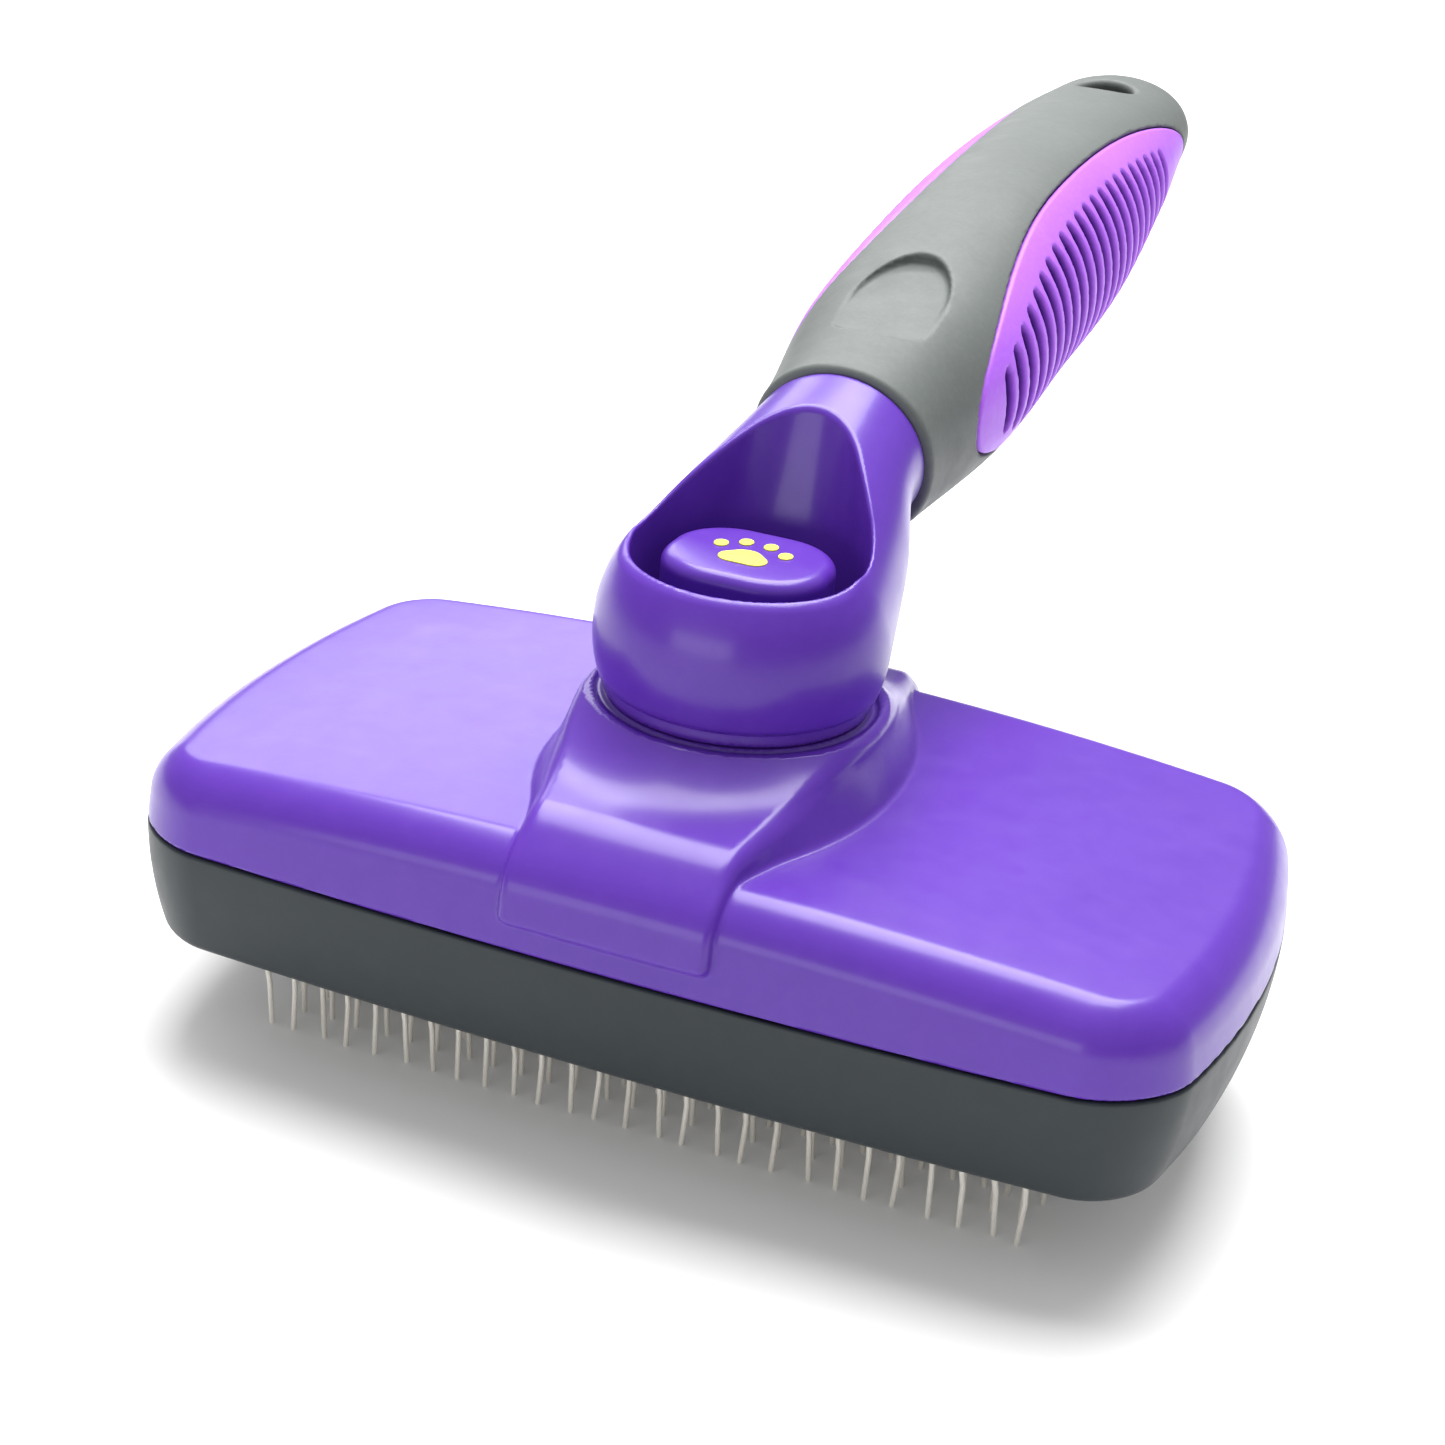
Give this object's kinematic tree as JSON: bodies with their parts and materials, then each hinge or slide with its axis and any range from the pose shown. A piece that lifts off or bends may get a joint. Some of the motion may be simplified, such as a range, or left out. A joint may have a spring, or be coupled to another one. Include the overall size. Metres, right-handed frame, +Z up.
{
  "type": "slicker brush",
  "caption": "Self-cleaning slicker brush: wide wire-pin head whose perforated tray slides down the pins when the thumb button is pressed, with a soft-grip handle.",
  "frame": {"origin": "centre of the bounding box in plan, on the plane of the pin tips", "axes": "+Z up from the pin tips towards the cover; +Y from the head towards the handle's tip; X along the head, with the model symmetric about x = 0"},
  "size_m": [0.1082, 0.1644, 0.0775],
  "materials": {
    "purple_plastic": "satin gloss moulded",
    "grey_plastic": "fine matt texture",
    "dark_plastic": "fine matt texture",
    "natural_plastic": "natural moulded",
    "cushion": "matt",
    "grip_rubber": "soft matt",
    "lilac_rubber": "soft satin",
    "yellow_print": "printed",
    "pin_steel": "drawn wire",
    "screw_steel": "zinc plated"
  },
  "bodies": {
    "brush_body": {"head_cover": "purple_plastic", "neck": "purple_plastic", "pin_base": "dark_plastic", "pin_pad": "cushion", "bristle_pins": "pin_steel", "edge_pins": "pin_steel", "return_spring": "screw_steel", "spring_washer": "screw_steel", "base_screws": "screw_steel", "neck_screws": "screw_steel", "grip_sleeve": "grip_rubber", "side_pad_left": "lilac_rubber", "side_pad_right": "lilac_rubber"},
    "stripper": {"strip_tray": "grey_plastic", "pusher_frame": "natural_plastic", "plunger": "natural_plastic", "push_button": "purple_plastic", "button_emblem": "yellow_print", "plunger_screw": "screw_steel", "tray_screws": "screw_steel", "stop_ring": "cushion"}
  },
  "joints": [
    {"name": "button_slide", "type": "slide", "parent": "brush_body", "child": "stripper", "axis": [0, 0, -1], "range_m": [0, 0.009], "stiffness_N_per_m": 600, "springref_m": -0.004, "deforming": ["return_spring"]}
  ]
}
